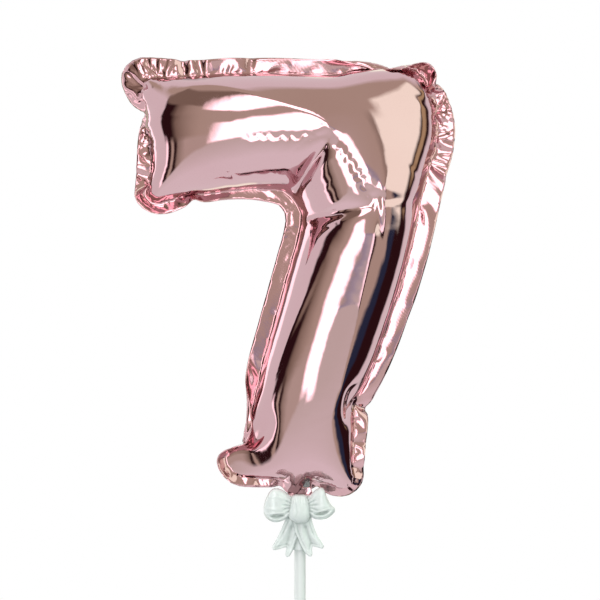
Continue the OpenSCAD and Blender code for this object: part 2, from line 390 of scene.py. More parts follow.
def rounded(corners, step):
    """Closed outline through corners (x, z, radius)."""
    points = [np.array(c[:2], float) for c in corners]
    out = []
    for i, (_, _, radius) in enumerate(corners):
        a, b, c = points[i - 1], points[i], points[(i + 1) % len(points)]
        u = (a - b) / np.linalg.norm(a - b)
        v = (c - b) / np.linalg.norm(c - b)
        half = math.acos(np.clip(u @ v, -1, 1)) / 2
        run = radius / math.tan(half)
        middle = (u + v) / np.linalg.norm(u + v)
        centre = b + middle * radius / math.sin(half)
        p0, p1 = b + u * run - centre, b + v * run - centre
        a0 = math.atan2(p0[1], p0[0])
        turn = (math.atan2(p1[1], p1[0]) - a0 + math.pi) % (2 * math.pi) - math.pi
        count = max(2, int(abs(turn) * radius / step) + 1)
        for j in range(count + 1):
            angle = a0 + turn * j / count
            out.append(centre + radius * np.array([math.cos(angle), math.sin(angle)]))
    return np.array(out)


def resample(loop, step):
    closed = np.vstack([loop, loop[:1]])
    run = np.r_[0, np.cumsum(np.linalg.norm(np.diff(closed, axis=0), axis=1))]
    s = np.linspace(0, run[-1], max(8, round(run[-1] / step)), endpoint=False)
    return np.c_[np.interp(s, run, closed[:, 0]), np.interp(s, run, closed[:, 1])]


def outward(loop):
    t = np.roll(loop, -1, 0) - np.roll(loop, 1, 0)
    t /= np.linalg.norm(t, axis=1)[:, None]
    n = np.c_[t[:, 1], -t[:, 0]]
    after = np.roll(loop, -1, 0)
    area = np.sum(loop[:, 0] * after[:, 1] - after[:, 0] * loop[:, 1])
    return n if area > 0 else -n


def inside(loop, points):
    x, y = points[:, 0], points[:, 1]
    hit = np.zeros(len(points), bool)
    for (x1, y1), (x2, y2) in zip(loop, np.roll(loop, -1, 0)):
        m = (y1 > y) != (y2 > y)
        if m.any():
            hit ^= m & (x < (x2 - x1) * (y - y1) / (y2 - y1 + 1e-30) + x1)
    return hit


def distance(points, line, closed=True):
    """Distance of each point from a line of points."""
    line = np.asarray(line, float)
    ends = np.roll(line, -1, 0) if closed else line[1:]
    best = np.full(len(points), 1e9)
    for p, q in zip(line, ends):
        d = q - p
        t = np.clip((points - p) @ d / (d @ d + 1e-30), 0, 1)
        r = points - (p + t[:, None] * d)
        best = np.minimum(best, np.hypot(r[:, 0], r[:, 1]))
    return best


def edges_of(faces):
    return np.vstack([faces[:, [0, 1]], faces[:, [1, 2]], faces[:, [2, 0]]])


def surface_normals(x, faces):
    cross = np.cross(x[faces[:, 1]] - x[faces[:, 0]], x[faces[:, 2]] - x[faces[:, 0]])
    out = np.empty_like(x)
    for k in range(3):
        out[:, k] = sum(np.bincount(faces[:, j], cross[:, k], len(x)) for j in range(3))
    return out / (np.linalg.norm(out, axis=1)[:, None] + 1e-9)


def spline(keys, parts):
    """Smooth rows through the keys, a number of parts for each step between two of them."""
    keys = np.array(keys, float)
    last = len(keys) - 1
    u = np.linspace(0, last, last * parts + 1)
    i = np.clip(u.astype(int), 0, last - 1)
    t = (u - i)[:, None]
    before, after = keys[np.maximum(i - 1, 0)], keys[np.minimum(i + 2, last)]
    a, b = keys[i], keys[i + 1]
    return 0.5 * (2 * a + (b - before) * t + (2 * before - 5 * a + 4 * b - after) * t ** 2
                  + (3 * a - before - 3 * b + after) * t ** 3)


def margin_width(p):
    """Width of the margin at points of the weld: narrow at the foot, wider above it."""
    rise = np.clip((p[:, 1] - 156) / 25, 0, 1)
    out = 3.8 + 1.1 * rise
    for x, z, reach, extra in WIDER:
        out = out + extra * np.exp(-(np.hypot(p[:, 0] - x, p[:, 1] - z) / reach) ** 2)
    return out


INNER, WELD, MARGIN, RIM = 0, 1, 2, 3


def flat_mesh(weld, rim, h):
    """Triangles of the flat pattern: vertices, faces, which faces are inside the weld, kinds."""
    w, o = resample(weld, h), resample(rim, h)
    low, high = o.min(0) - 1, o.max(0) + 1
    gx, gy = np.meshgrid(np.arange(low[0], high[0], h),
                         np.arange(low[1], high[1], h * math.sqrt(3) / 2))
    gx[1::2] += h / 2
    lattice = np.c_[gx.ravel(), gy.ravel()]
    shake, clear = 0.12 * h, 0.6 * h
    lattice += np.random.default_rng(3).uniform(-shake, shake, lattice.shape)
    lattice = lattice[inside(o, lattice)]
    lattice = lattice[(distance(lattice, w) > clear) & (distance(lattice, o) > clear)]
    nw, no = len(w), len(o)
    edges = [(i, (i + 1) % nw) for i in range(nw)]
    edges += [(nw + i, nw + (i + 1) % no) for i in range(no)]
    points = np.vstack([w, o, lattice])
    v, _, f, source, _, _ = delaunay_2d_cdt([Vector(p) for p in points], edges, [], 1, 1e-4, True)
    verts = np.array([tuple(p) for p in v])
    faces = np.array([list(t) for t in f if len(t) == 3])
    a, b = (verts[faces[:, k]] - verts[faces[:, 0]] for k in (1, 2))
    area = a[:, 0] * b[:, 1] - a[:, 1] * b[:, 0]
    faces[area < 0] = faces[area < 0][:, ::-1]
    faces = faces[np.abs(area) > 1e-6]
    faces = faces[inside(o, verts[faces].mean(1))]
    within = inside(w, verts[faces].mean(1))
    kind = np.where(inside(w, verts), INNER, MARGIN)
    kind[[any(nw <= s < nw + no for s in src) for src in source]] = RIM
    kind[[any(s < nw for s in src) for src in source]] = WELD
    return verts, faces, within, kind


def finer(verts, faces, within, kind):
    """Each triangle in four. Also gives the edges that the new vertices halve."""
    n, m = len(verts), len(faces)
    edges = np.sort(edges_of(faces), axis=1)
    unique, at = np.unique(edges, axis=0, return_inverse=True)
    at = at.ravel()
    a, b, c = at[:m] + n, at[m:2 * m] + n, at[2 * m:] + n
    f = np.vstack([np.c_[faces[:, 0], a, c], np.c_[a, faces[:, 1], b], np.c_[c, b, faces[:, 2]],
                   np.c_[a, b, c]])
    inner = np.bincount(at, np.tile(within, 3).astype(float), len(unique))
    count = np.bincount(at, minlength=len(unique))
    k = np.where(inner == count, INNER, np.where(inner == 0, MARGIN, WELD))
    k = np.where(count == 1, RIM, k)
    mid = (verts[unique[:, 0]] + verts[unique[:, 1]]) / 2
    return np.vstack([verts, mid]), f, np.tile(within, 4), np.concatenate([kind, k]), unique


def disjoint_groups(pairs, n):
    """The pairs in groups in which no vertex comes twice."""
    rng = np.random.default_rng(1)
    left = np.arange(len(pairs))
    groups = []
    while len(left):
        used = np.zeros(n, bool)
        taken = []
        rest = left
        for _ in range(6):
            rest = rest[~(used[pairs[rest, 0]] | used[pairs[rest, 1]])]
            if not len(rest):
                break
            rank = rng.random(len(rest))
            best = np.full(n, 2.0)
            np.minimum.at(best, pairs[rest, 0], rank)
            np.minimum.at(best, pairs[rest, 1], rank)
            win = (best[pairs[rest, 0]] == rank) & (best[pairs[rest, 1]] == rank)
            used[pairs[rest[win]].ravel()] = True
            taken.append(rest[win])
            rest = rest[~win]
        group = np.concatenate(taken)
        groups.append(group)
        keep = np.ones(len(pairs), bool)
        keep[group] = False
        left = left[keep[left]]
    return groups


class Envelope:
    """Two layers of film that share the weld and the margin."""

    def __init__(self, verts, faces, within, kind):
        self.verts, self.flat_faces, self.within, self.kind = verts, faces, within, kind
        n = len(verts)
        inner = np.where(kind == INNER)[0]
        self.back_of = np.arange(n)
        self.back_of[inner] = n + np.arange(len(inner))
        self.n = n + len(inner)
        self.source = np.concatenate([np.arange(n), inner])
        self.flat = verts[self.source]
        self.front = faces[within]
        self.back = self.back_of[faces[within]][:, ::-1]
        self.margin = faces[~within]
        self.side = np.zeros(self.n)
        self.side[inner] = -1
        self.side[n:] = 1
        every = np.vstack([self.front, self.back, self.margin])
        edges = np.sort(edges_of(every), axis=1)
        across = np.concatenate([every[:, 2], every[:, 0], every[:, 1]])
        unique, at, count = np.unique(edges, axis=0, return_inverse=True, return_counts=True)
        at = at.ravel()
        order = np.argsort(at, kind="stable")
        first = np.searchsorted(at[order], np.arange(len(unique)))[count == 2]
        opposite = np.c_[across[order][first], across[order][first + 1]]
        in_margin = (self.kind[self.source[opposite]] >= WELD).all(1).astype(float)
        self.stretch = [(unique[g, 0], unique[g, 1], self.gap(unique[g]))
                        for g in disjoint_groups(unique, self.n)]
        self.bends = [(opposite[g, 0], opposite[g, 1], self.gap(opposite[g]), in_margin[g])
                      for g in disjoint_groups(opposite, self.n)]

    def gap(self, pairs):
        """Lengths in the flat pattern."""
        return np.linalg.norm(self.flat[pairs[:, 0]] - self.flat[pairs[:, 1]], axis=1)

    def relax(self, x, steps, push, fade, damp):
        """Pressure against a film that doesn't stretch and hardly bends."""
        before = x.copy()
        skin = np.vstack([self.front, self.back])
        flat = self.kind[self.source] >= MARGIN
        for step in range(steps):
            speed = (x - before) * damp
            before = x.copy()
            blow = (push * (1 - fade * step / steps) * self.pressure)[:, None]
            x = x + speed + surface_normals(x, skin) * blow
            for _ in range(3):
                for i, j, length in self.stretch:
                    d = x[j] - x[i]
                    now = np.sqrt(np.einsum("ij,ij->i", d, d)) + 1e-12
                    d *= ((now - length) / now * 0.5)[:, None]
                    x[i] += d
                    x[j] -= d
                for i, j, length, rim in self.bends:
                    d = x[j] - x[i]
                    now = np.sqrt(np.einsum("ij,ij->i", d, d)) + 1e-12
                    c = (now - length) / now * 0.5 * (PANEL_BEND + (MARGIN_BEND - PANEL_BEND) * rim)
                    d *= np.minimum(c, 0)[:, None]
                    x[i] += d
                    x[j] -= d
            y = x[:, 1]
            y[flat] *= 1 - MARGIN_PULL
            y[self.side < 0] = np.minimum(y[self.side < 0], -LEAST_DEPTH)
            y[self.side > 0] = np.maximum(y[self.side > 0], LEAST_DEPTH)
        return x

    def set_pressure(self):
        """Full pressure, except that the folds of the front are pushed in."""
        p = np.ones(self.n)
        for line, width, value in FOLDS:
            w = np.exp(-(distance(self.flat, line, False) / width) ** 2) * (self.side <= 0)
            p = p * (1 - w) + value * w
        self.pressure = p

    def pinch(self, x):
        for px, pz, dx, dz in PINCHES:
            far = np.hypot(self.flat[:, 0] - px, self.flat[:, 1] - pz)
            w = np.exp(-(far / PINCH_REACH) ** 2)
            w *= self.kind[self.source] >= WELD
            x[:, 0] += dx * PINCH_STEP * w
            x[:, 2] += dz * PINCH_STEP * w
        return x


def refine(env, x):
    """The same shape on triangles of half the size."""
    n = len(env.verts)
    verts, faces, within, kind, edges = finer(env.verts, env.flat_faces, env.within, env.kind)
    new = Envelope(verts, faces, within, kind)
    front, back = x[:n], x[env.back_of]
    out = np.zeros((new.n, 3))
    out[:len(verts)] = np.vstack([front, (front[edges[:, 0]] + front[edges[:, 1]]) / 2])
    back = np.vstack([back, (back[edges[:, 0]] + back[edges[:, 1]]) / 2])
    out[len(verts):] = back[kind == INNER]
    new.set_pressure()
    return new, out


def inflate():
    corners = PATTERN[:NECK_AFTER] + NECK + PATTERN[NECK_AFTER:]
    plain = resample(rounded(PATTERN, 1.0), 1.0)
    rim = plain + outward(plain) * margin_width(plain)[:, None]
    weld = resample(rounded(corners, 0.5), 0.7)
    env = Envelope(*flat_mesh(weld, rim, MESH_STEP))
    env.set_pressure()
    x = np.zeros((env.n, 3))
    x[:, 0], x[:, 2] = env.flat[:, 0], env.flat[:, 1]
    lift = 0.1 + 0.15 * distance(env.flat, weld[::4])
    x[:, 1] = env.side * lift + np.random.default_rng(5).normal(0, 0.1, env.n)
    for _ in range(5):
        x = env.relax(x, 50, PUSH[0], 0, DAMPING[0])
        for _ in range(4):
            x = env.relax(env.pinch(x), 6, PUSH[0], 0, PINCH_DAMPING)
    x = env.relax(x, 500, PUSH[0], PUSH_FADE, DAMPING[0])
    env, x = refine(env, x)
    x[:, 1] += np.random.default_rng(6).normal(0, 0.03, env.n)
    x = env.relax(x, 300, PUSH[1], PUSH_FADE, DAMPING[1])
    env, x = refine(env, x)
    x = env.relax(x, 150, PUSH[2], PUSH_FADE, DAMPING[2])
    return env, x


def place(env, x):
    """Stands the inflated number upright over the bow."""
    x = x.copy()
    x[:, 1] -= x[:len(env.verts)][env.kind == WELD, 1].mean()
    c, s = math.cos(math.radians(TURN)), math.sin(math.radians(TURN))
    u, w = x[:, 0] - PIVOT[0], x[:, 2] - PIVOT[1]
    x[:, 0], x[:, 2] = PIVOT[0] + u * c - w * s + SHIFT[0], PIVOT[1] + u * s + w * c + SHIFT[1]
    return nudge(env, x)


def gap_to_weld(env):
    """Distance of each vertex from the weld, in the flat pattern."""
    return distance(env.flat, env.flat[:len(env.verts)][env.kind == WELD][::2])


def nudge(env, x):
    inner = env.kind[env.source] == INNER
    near_weld = np.where(inner, 1.0, np.clip(1 - gap_to_weld(env) / 4.0, 0, 1))
    start = x.copy()
    for cx, cz, radius, across, up, rim in NUDGES:
        w = np.exp(-((start[:, 0] - cx) ** 2 + (start[:, 2] - cz) ** 2) / radius ** 2)
        w = w if rim else w * near_weld
        x[:, 0] += across * w
        x[:, 2] += up * w
    return x


# Creases pressed into the front of the inflated number, in its final place: points, depth at the
# start and the end (less than 0 for a ridge), reach to the left and right of the line, then the
# size and the spacing of the gathers along it.
CREASES = [
    # The fold across the bar, and the two gathered creases at the bend.
    ([(-38.5, 284), (-25, 281.5), (-12.5, 278), (-2.5, 274.5), (6, 271), (9, 267.5), (9.5, 264.5)],
     -1.0, -1.1, 3.0, 4.5, 0, 1),
    ([(-17.5, 265.4), (-10.5, 265.4), (-2.5, 265), (6, 265.6), (9, 265)],
     0.36, 0.42, 4.5, 1.4, 1.2, 3.4),
    ([(9, 264.3), (12.5, 261), (16.5, 255.5), (20, 249.5), (23.4, 244.6)],
     0.9, 0.9, 2.0, 2.0, 0.9, 2.9),
    # Lines from the inner corner and round the point where the creases meet.
    ([(-2.3, 248.2), (2, 255.5), (8.3, 263.8)], 0.3, 0.7, 1.4, 1.4, 0, 1),
    ([(0.8, 240.4), (10, 242.5), (23.4, 244.4)], 0.4, 0.9, 1.6, 1.6, 0, 1),
    ([(23.4, 244.4), (28, 244.9), (33, 246.6), (39, 252)], -1.3, -0.8, 4.5, 5.5, 0, 1),
    ([(24.5, 245.5), (30, 262.5), (35.5, 273.5), (38, 279)], -0.8, -0.6, 4.0, 6.0, 0, 1),
    # Lines down the left of the leg, and small folds under and at the left of the bar.
    ([(-15.7, 172.5), (-10.5, 184.5), (-2.3, 207.5), (6, 224.5), (10, 235.5)],
     -0.8, -0.6, 3.5, 4.0, 0, 1),
    ([(-14.2, 173.5), (-5.0, 198.0), (2.2, 214.5), (9.2, 232.0)], 0.25, 0.30, 0.8, 0.8, 0, 1),
    ([(-45, 271.8), (-32, 272.2), (-19, 271.2)], 0.16, 0.12, 0.9, 0.9, 0, 1),
    ([(-22.5, 255.5), (-18.5, 251.0)], 0.5, 0.7, 0.7, 0.7, 0, 1),
    ([(-14.5, 254.5), (-12.5, 250.5)], 0.4, 0.6, 0.6, 0.6, 0, 1),
    ([(1.2, 237.5), (7, 237.8), (12.5, 239.5)], 0.7, 0.3, 1.0, 1.0, 0, 1),
    # The line down the right of the leg.
    ([(15.5, 179.4), (13, 184), (13.5, 193), (16.5, 206.5), (20, 224.5), (23.3, 241.5)],
     -0.8, -0.5, 4.0, 4.0, 0, 1),
]
# Crumpled corners of the margin: x, z, radius, folds around the corner, height.
CRUMPLES = [
    (-45, 279, 15, 26, 0.32), (39, 279, 13, 22, 0.32), (3, 241, 12, 34, 0.10),
    (-20, 160, 9, 18, 0.12),
]
# The foot is flatter than the leg: height where that starts, height of the foot, share of the
# depth that goes; then the toe, which is flatter still: x, z, radius, share.
FOOT_TOP, FOOT_HEIGHT, FOOT_FLAT = 214, 54, 0.32
TOE = (-20, 163, 11.0, 0.5)
# A crease leaves the weld alone up to EDGE and is whole SLOPE further in.
EDGE, SLOPE = 0.6, 4.0
# How far from its line a gather still bends it, and the shares of its length where a crease
# starts and ends.
GATHER_REACH = 1.5
CREASE_START, CREASE_END = 0.12, 0.10


def beside(points, line):
    """Signed distance from a line, positive on its left, and the length along it."""
    line = np.asarray(line, float)
    best, signed, run = np.full(len(points), 1e9), np.zeros(len(points)), np.zeros(len(points))
    so_far = 0.0
    for p, q in zip(line[:-1], line[1:]):
        d = q - p
        length = math.hypot(*d)
        t = np.clip((points - p) @ d / length ** 2, 0, 1)
        r = points - (p + t[:, None] * d)
        far = np.hypot(r[:, 0], r[:, 1])
        side = np.where(d[0] * r[:, 1] - d[1] * r[:, 0] >= 0, 1.0, -1.0)
        m = far < best
        best[m], signed[m], run[m] = far[m], (far * side)[m], (so_far + t * length)[m]
        so_far += length
    return signed, run, so_far


def gathers(run, t, signed, size, spacing):
    """How far a zigzag of gathers moves the line of a crease sideways."""
    saw = np.abs((run / spacing + 0.12 * np.sin(0.9 * run)) % 1.0 - 0.5) * 4 - 1
    ends = np.sin(math.pi * np.clip(t, 0, 1)) ** 0.5
    near_line = np.exp(-np.abs(signed) / GATHER_REACH)
    return size * (0.8 + 0.2 * np.sin(1.7 * run)) * saw * ends * near_line


def crease(env, x):
    """Presses the creases into the front layer, flattens the foot and crumples the corners."""
    x = x.copy()
    m = np.where(env.side < 0)[0]
    p = x[m][:, [0, 2]]
    gap = np.full(len(p), 1e9)
    for w in x[:len(env.verts)][env.kind == WELD][::2][:, [0, 2]]:
        gap = np.minimum(gap, np.hypot(p[:, 0] - w[0], p[:, 1] - w[1]))
    free = np.clip((gap - EDGE) / SLOPE, 0, 1)
    low = np.clip((FOOT_TOP - p[:, 1]) / FOOT_HEIGHT, 0, 1)
    toe = np.exp(-((p[:, 0] - TOE[0]) ** 2 + (p[:, 1] - TOE[1]) ** 2) / TOE[2] ** 2)
    move = -(FOOT_FLAT * low ** 1.2 + TOE[3] * toe) * x[m, 1]
    for line, start, end, left, right, size, spacing in CREASES:
        signed, run, total = beside(p, spline(line, 4))
        t = run / total
        signed = signed + gathers(run, t, signed, size, spacing)
        reach = np.where(signed > 0, left, right)
        taper = np.clip(t / CREASE_START, 0, 1) * np.clip((1 - t) / CREASE_END, 0, 1)
        fall = np.exp(-np.sqrt(signed ** 2 + 0.12) / reach) * taper * taper * (3 - 2 * taper)
        move += (start + (end - start) * t) * fall * free
    x[m, 1] = np.minimum(x[m, 1] + move, -0.05)
    flap = np.clip(gap_to_weld(env) / 1.5, 0, 1) * (env.kind[env.source] >= MARGIN)
    for cx, cz, radius, waves, height in CRUMPLES:
        u, w = x[:, 0] - cx, x[:, 2] - cz
        around = np.arctan2(w, u)
        fold = np.sin(waves * around + 1.7 * np.sin(3 * around))
        fold = fold + 0.5 * np.sin(1.9 * waves * around + 1.0)
        x[:, 1] += height * fold * flap * np.exp(-((u ** 2 + w ** 2) / radius ** 2) ** 2)
    return x


# ==== Meshes
def make_object(name, verts, faces, smooth=True):
    mesh = bpy.data.meshes.new(name)
    mesh.from_pydata((np.asarray(verts) * MM).tolist(), [], [list(map(int, f)) for f in faces])
    mesh.polygons.foreach_set("use_smooth", [smooth] * len(mesh.polygons))
    mesh.update()
    return link(bpy.data.objects.new(name, mesh))


def mark(mesh, name, values):
    attribute = mesh.attributes.new(name, "FLOAT", "POINT")
    attribute.data.foreach_set("value", values.astype(np.float32))


# The film's outer and inner face, out from the surface that the panels share at the weld.
FILM_OUT, FILM_IN = 0.10, 0.01
# How strongly the stamped seal shows on the weld and on the margin.
SEAL_WELD, SEAL_MARGIN = 1.0, 0.6


def film_shell(name, env, x, inner_faces, sign):
    """One foil panel as a thin closed shell, on one side of the weld's surface."""
    layer = np.vstack([inner_faces, env.margin if sign < 0 else env.margin[:, ::-1]])
    used, local = np.unique(layer, return_inverse=True)
    local = local.reshape(layer.shape)
    p = x[used]
    normal = surface_normals(p, local)
    n = len(p)
    key = {tuple(e) for e in edges_of(local).tolist()}
    border = [(a, b) for a, b in key if (b, a) not in key]
    rim = [(b, a, a + n) for a, b in border] + [(b, a + n, b + n) for a, b in border]
    faces = np.vstack([local, local[:, ::-1] + n, np.array(rim)])
    obj = make_object(name, np.vstack([p + normal * FILM_OUT, p + normal * FILM_IN]), faces)
    kind = env.kind[env.source[used]]
    seal = np.where(kind == INNER, 0.0, np.where(kind == WELD, SEAL_WELD, SEAL_MARGIN))
    mark(obj.data, "seal", np.tile(seal, 2))
    return obj


# ==== The bow. Its parts are in millimetres, with z counted from the floor of the slot
SLOT_FLOOR = 150.4
VOXEL = 0.14
# Rounds of smoothing that a hollow is measured against, and the depth that counts as one, for the
# shade painted into the bow's hollows.
PAINTED_SHADE_ROUNDS = 16
PAINTED_SHADE_DEPTH = 0.10
# Depth of a loop's mouth, height of the rim round it, depth and number of the pleats.
MOUTH_DEPTH, RIM_HEIGHT, PLEAT_DEPTH, PLEATS = 1.5, 0.30, 0.22, 17
# Height of the ribbon ends' rims, ridges and valleys.
EDGE_HEIGHT, RIDGE_HEIGHT, VALLEY_DEPTH = 0.16, 0.55, 0.5


def loft(stations, axis, power, around=40):
    """Closed body along x or z through stations (s, low, high, front, back) of rounded boxes."""
    rows = spline(stations, 6)
    angle = np.linspace(0, 2 * math.pi, around, endpoint=False)
    c, s = np.cos(angle), np.sin(angle)
    c, s = np.sign(c) * np.abs(c) ** (2 / power), np.sign(s) * np.abs(s) ** (2 / power)
    verts = []
    for pos, low, high, fore, rear in rows:
        across = (low + high) / 2 + (high - low) / 2 * s
        depth = (fore + rear) / 2 + (rear - fore) / 2 * c
        verts += [(pos, d, w) if axis == "x" else (w, d, pos) for w, d in zip(across, depth)]
    n = len(rows)
    faces = [(r * around + k, r * around + (k + 1) % around, (r + 1) * around + (k + 1) % around,
              (r + 1) * around + k) for r in range(n - 1) for k in range(around)]
    faces += [tuple(range(around))[::-1], tuple((n - 1) * around + k for k in range(around))]
    return np.array(verts), faces


def slab(outline, front, back):
    n = len(outline)
    verts = [(x, front, z) for x, z in outline] + [(x, back, z) for x, z in outline]
    faces = [tuple(range(n)), tuple(range(2 * n - 1, n - 1, -1))]
    faces += [(k, k + n, (k + 1) % n + n, (k + 1) % n) for k in range(n)]
    return np.array(verts, float), faces


def box(low, high):
    (x0, y0, z0), (x1, y1, z1) = low, high
    return slab([(x0, z0), (x1, z0), (x1, z1), (x0, z1)], y0, y1)


def tube(radius, z0, z1, sides=48):
    ring = [(radius * math.cos(2 * math.pi * k / sides), radius * math.sin(2 * math.pi * k / sides))
            for k in range(sides)]
    verts = [(x, y, z0) for x, y in ring] + [(x, y, z1) for x, y in ring]
    faces = [tuple(range(sides))[::-1], tuple(range(sides, 2 * sides))]
    faces += [(k, (k + 1) % sides, (k + 1) % sides + sides, k + sides) for k in range(sides)]
    return np.array(verts), faces


def outward_faces(obj):
    bm = bmesh.new()
    bm.from_mesh(obj.data)
    bmesh.ops.recalc_face_normals(bm, faces=bm.faces)
    bm.to_mesh(obj.data)
    bm.free()


def apply(obj, kind, **settings):
    """Adds one modifier and makes it part of the mesh."""
    modifier = obj.modifiers.new("m", kind)
    for key, value in settings.items():
        setattr(modifier, key, value)
    done = bpy.data.meshes.new_from_object(obj.evaluated_get(bpy.context.evaluated_depsgraph_get()))
    obj.modifiers.clear()
    obj.data = done


def solid(name, shape):
    obj = make_object(name, *shape)
    outward_faces(obj)
    return obj


def remesh(obj, rounds):
    apply(obj, "REMESH", mode="VOXEL", voxel_size=VOXEL * MM, use_smooth_shade=True)
    apply(obj, "SMOOTH", iterations=rounds, factor=0.5)


def read(items, what, width, kind=float):
    values = np.zeros(width * len(items), kind)
    items.foreach_get(what, values)
    return values.reshape(-1, width)


def sculpt(obj, move):
    """Moves the front of a part by move(x, z), in millimetres towards the back."""
    mesh = obj.data
    co = read(mesh.vertices, "co", 3) / MM
    facing = np.clip(-read(mesh.vertices, "normal", 3)[:, 1] * 1.6, 0, 1)
    co[:, 1] += move(co[:, 0], co[:, 2]) * facing
    mesh.vertices.foreach_set("co", (co * MM).ravel())
    mesh.update()


def mark_painted_shade(mesh):
    """Marks where the surface lies below its own smoothed shape: the mask for the shade painted
    into the bow's hollows.
    """
    n = len(mesh.vertices)
    p, normal = read(mesh.vertices, "co", 3), read(mesh.vertices, "normal", 3)
    ends = read(mesh.edges, "vertices", 2, int)
    count = np.bincount(ends.ravel(), minlength=n)[:, None] + 1e-9
    soft = p.copy()
    for _ in range(PAINTED_SHADE_ROUNDS):
        total = np.zeros_like(p)
        for k in range(3):
            total[:, k] = (np.bincount(ends[:, 0], soft[ends[:, 1], k], n)
                           + np.bincount(ends[:, 1], soft[ends[:, 0], k], n))
        soft = total / count
    mark(mesh, "hollow", np.clip(((soft - p) * normal).sum(1) / MM / PAINTED_SHADE_DEPTH, 0, 1))


def step(value, low, high):
    t = np.clip((value - low) / (high - low), 0, 1)
    return t * t * (3 - 2 * t)


def near(x, z, line, width):
    return np.exp(-(distance(np.c_[x, z], line, False) / width) ** 2)


def mouth(x, z, centre, radii, tilt):
    """A loop's open end: a bean-shaped hollow with a rolled rim."""
    c, s = math.cos(math.radians(tilt)), math.sin(math.radians(tilt))
    u, v = (x - centre[0]) * c + (z - centre[1]) * s, -(x - centre[0]) * s + (z - centre[1]) * c
    v = v - 0.12 * u * u / radii[0]
    r = np.hypot(u / radii[0], v / radii[1])
    rim = np.exp(-((r - 1.28) / 0.26) ** 2)
    return MOUTH_DEPTH * step(1.0 - r, 0, 0.7) - RIM_HEIGHT * rim


def pleats(x, z, centre, start, stop):
    """Gathers that fan out from the knot and fade along the loop."""
    reach = np.hypot(x - centre[0], z - centre[1])
    angle = np.arctan2(z - centre[1], np.abs(x - centre[0]))
    along = step(reach, start - 1.2, start) * (1 - step(reach, start + 0.6, stop))
    return -PLEAT_DEPTH * np.cos(angle * PLEATS) * along


def left_loop():
    obj = solid("left", loft([
        (-1.6, -0.6, 3.6, -5.0, -2.9), (-2.6, -1.2, 4.4, -5.6, -2.7), (-3.8, -2.0, 5.4, -6.4, -2.5),
        (-5.2, -2.8, 6.5, -7.1, -2.3), (-7.0, -3.3, 7.2, -7.6, -2.2), (-8.6, -3.1, 6.9, -7.6, -2.2),
        (-9.8, -2.5, 5.6, -7.2, -2.3), (-10.7, -1.6, 3.6, -6.5, -2.7),
        (-11.2, -0.7, 1.6, -5.6, -3.5)], "x", 3.0))
    remesh(obj, 6)
    sculpt(obj, lambda x, z: mouth(x, z, (-7.0, -1.3), (2.6, 0.85), 3)
           + pleats(x, z, (-1.2, 1.6), 2.6, 5.0)
           - 0.16 * near(x, z, [(-9.6, 4.4), (-7.2, 5.0), (-4.4, 3.9)], 0.35)
           - 0.12 * near(x, z, [(-10.6, 1.2), (-8.6, 1.0), (-5.2, 1.0)], 0.5))
    return obj


def right_loop():
    obj = solid("right", loft([
        (1.6, -0.6, 3.6, -5.0, -2.9), (2.6, -1.2, 4.4, -5.6, -2.7), (3.7, -1.9, 5.6, -6.4, -2.5),
        (5.0, -2.4, 6.8, -7.1, -2.3), (6.3, -2.5, 7.4, -7.6, -2.2), (7.4, -2.4, 7.0, -7.6, -2.2),
        (8.4, -2.1, 4.4, -7.2, -2.3), (9.4, -1.5, 2.4, -6.6, -2.7), (10.4, -0.6, 1.4, -5.8, -3.3),
        (10.9, 0.0, 0.9, -5.2, -3.8)], "x", 2.8))
    remesh(obj, 6)
    sculpt(obj, lambda x, z: mouth(x, z, (6.9, -0.4), (2.6, 0.75), 14)
           + pleats(x, z, (1.2, 1.6), 2.6, 5.0)
           - 0.14 * near(x, z, [(4.0, 4.3), (6.0, 5.6), (7.4, 5.4)], 0.35)
           - 0.12 * near(x, z, [(4.6, 1.4), (7.0, 1.9), (9.0, 1.9)], 0.5))
    return obj


def knot():
    obj = solid("knot", loft([
        (5.2, -1.7, 1.3, -6.0, -3.0), (4.7, -2.4, 2.0, -7.0, -2.6), (3.0, -2.8, 2.5, -7.9, -2.4),
        (1.2, -3.1, 2.8, -8.3, -2.2), (-0.6, -3.5, 3.0, -8.4, -2.2), (-2.0, -3.3, 3.0, -8.0, -2.4),
        (-3.0, -2.4, 2.4, -7.1, -2.8), (-3.5, -1.2, 1.6, -6.0, -3.4)], "z", 2.6))
    remesh(obj, 5)
    sculpt(obj, lambda x, z: -0.13 * np.cos(x * 7.4 + 0.4 * z) * step(z, 1.6, 4.2)
           - 0.07 * np.cos(x * 3.4 + 0.9) * step(z, -2.6, 1.0)
           + 0.22 * near(x, z, [(-2.9, -1.6), (-1.9, -2.2), (-1.1, -3.4)], 0.3)
           + 0.14 * near(x, z, [(-1.2, 2.6), (-0.9, 0.2), (-1.4, -1.6)], 0.4)
           + 0.14 * near(x, z, [(1.3, 2.6), (1.5, 0.2), (1.2, -2.0)], 0.45))
    return obj


# Outlines of the ribbon ends, as x and z.
LEFT_END = [
    (-4.2, -0.7), (-4.5, -2.6), (-5.7, -5.6), (-7.3, -8.9), (-8.7, -11.3), (-8.6, -12.0),
    (-7.8, -12.3), (-6.2, -11.9), (-4.3, -11.3), (-4.4, -12.6), (-4.6, -13.7), (-4.0, -14.5),
    (-3.2, -14.1), (-2.3, -12.6), (-1.2, -9.1), (0.5, -4.5), (0.8, -0.7)]
RIGHT_END = [
    (-2.2, -0.9), (-2.2, -3.1), (-1.4, -6.7), (0.2, -10.5), (1.5, -12.8), (2.5, -13.9),
    (3.4, -14.2), (3.9, -13.4), (3.7, -12.0), (3.9, -10.9), (5.5, -11.3), (7.0, -11.7),
    (7.5, -11.0), (6.8, -9.8), (5.5, -8.0), (4.5, -5.6), (3.7, -3.1), (3.4, -0.9)]


